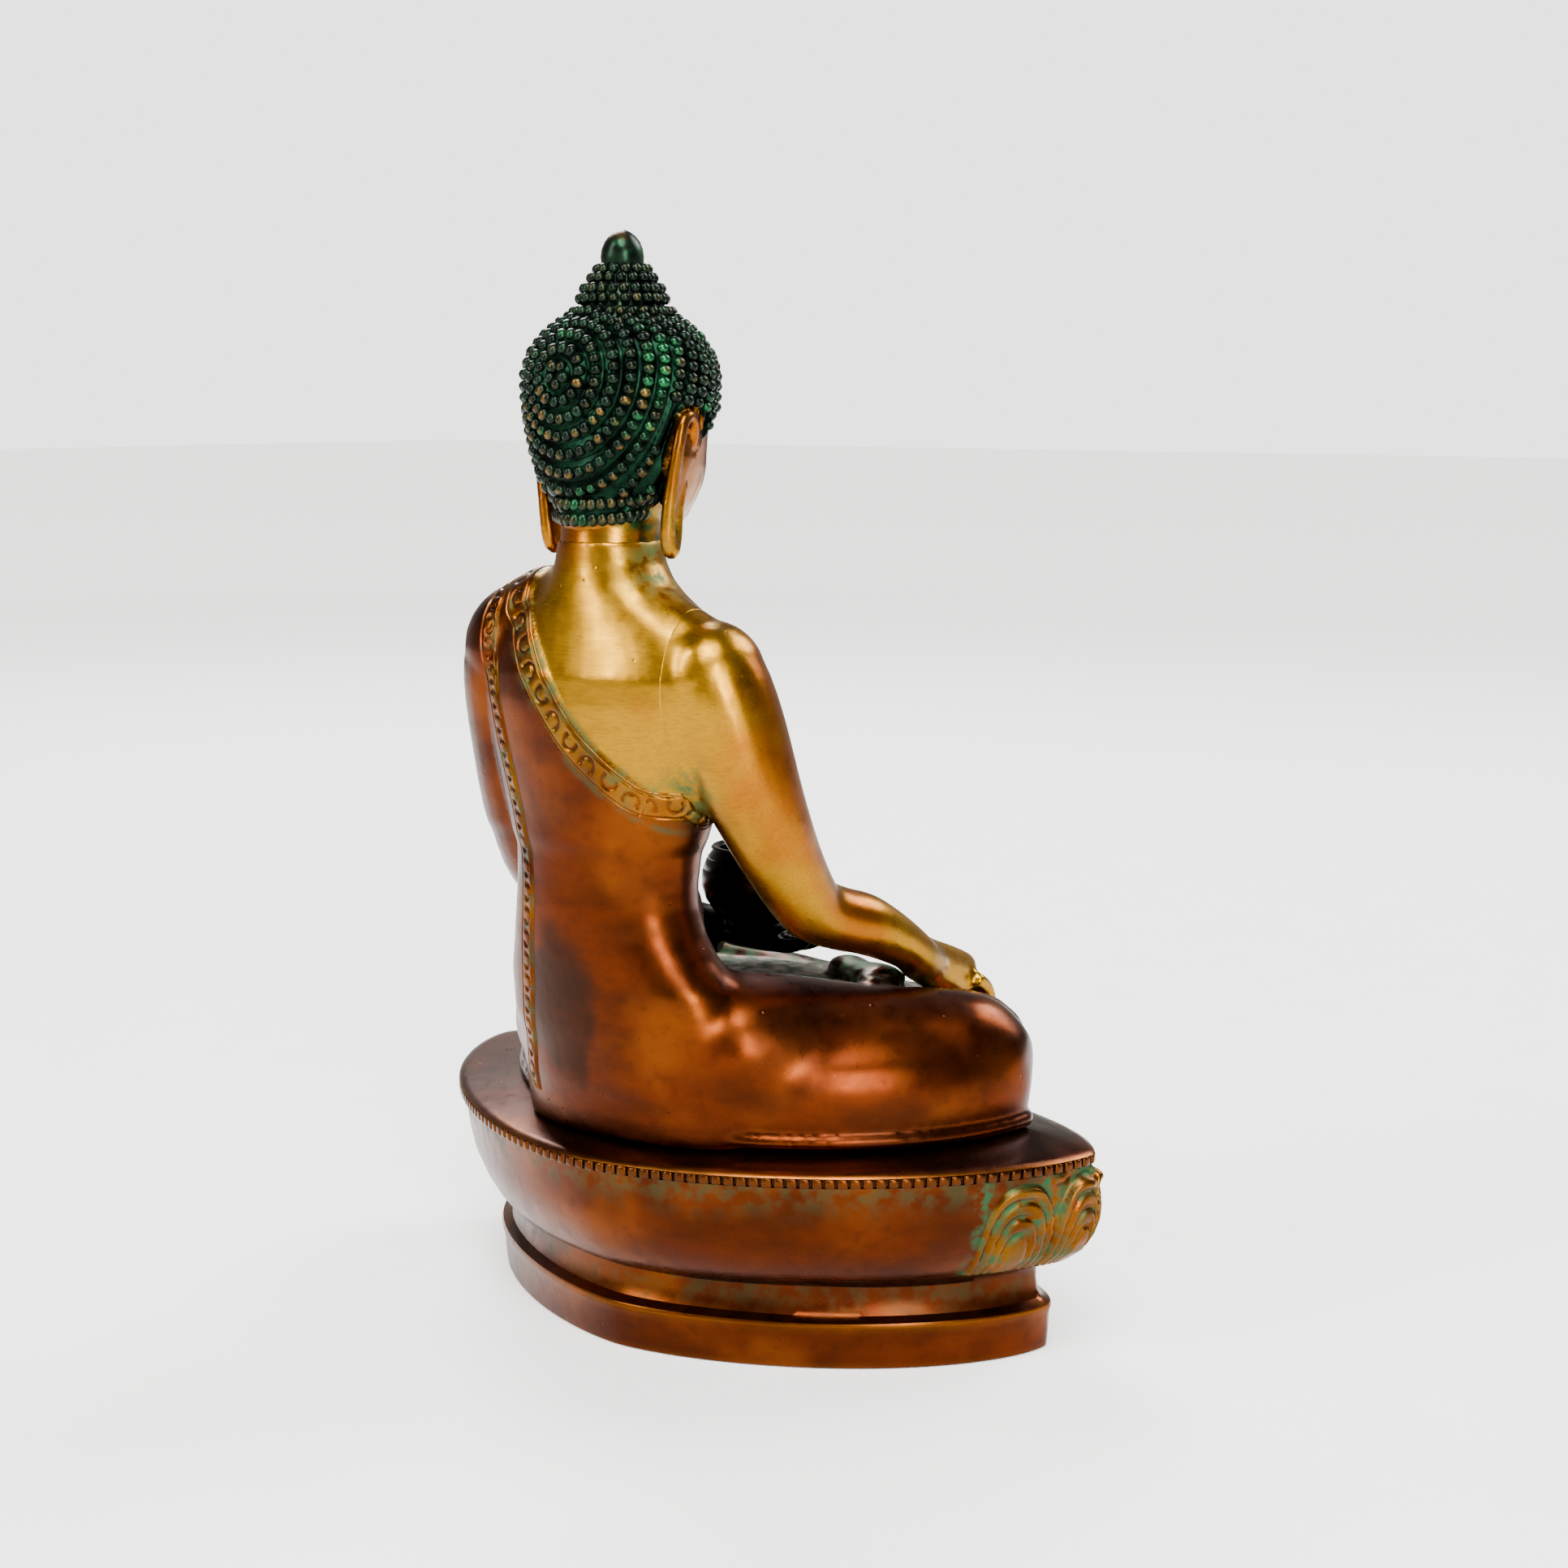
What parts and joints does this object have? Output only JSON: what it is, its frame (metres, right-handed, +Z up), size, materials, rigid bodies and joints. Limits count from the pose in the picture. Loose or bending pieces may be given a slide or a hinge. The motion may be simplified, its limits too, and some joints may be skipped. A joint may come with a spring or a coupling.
{
  "type": "buddha statue",
  "caption": "Seated buddha on a lotus throne, right hand reaching to the ground, left hand holding an alms bowl, with beaded hair and an engraved robe border.",
  "frame": {"origin": "on the surface it stands on, under the middle of the object's box", "axes": "+Z up; the figure faces -Y; its right hand is on the -X side"},
  "size_m": [0.1472, 0.0882, 0.2],
  "materials": {
    "copper_patina": "cast copper alloy with a red-brown lacquered patina, rubbed to copper on its edges",
    "bare_brass": "copper alloy rubbed bare to a brushed golden shine, with fine scratches and pits",
    "verdigris_relief": "cast relief with green verdigris left in its grooves",
    "dark_patina": "near-black patina",
    "painted_hair_and_face": "dark green pigment on the beaded hair, rubbed gold on the bead tops; golden face",
    "sheet_copper": "thin hammered copper sheet",
    "pin_metal": "plain drawn rod"
  },
  "bodies": {
    "root": {"pedestal": "copper_patina", "base_plate": "sheet_copper", "rim_beading": "copper_patina", "petal_band": "verdigris_relief", "foot_petals": "verdigris_relief", "seated_body": "copper_patina", "right_arm": "bare_brass", "left_hand": "dark_patina", "alms_bowl": "dark_patina", "bowl_pin": "pin_metal", "head": "painted_hair_and_face", "crown_jewel": "bare_brass", "neck_dowel": "pin_metal", "shoulder_dowel": "pin_metal", "deck_rivets": "pin_metal"}
  },
  "joints": []
}
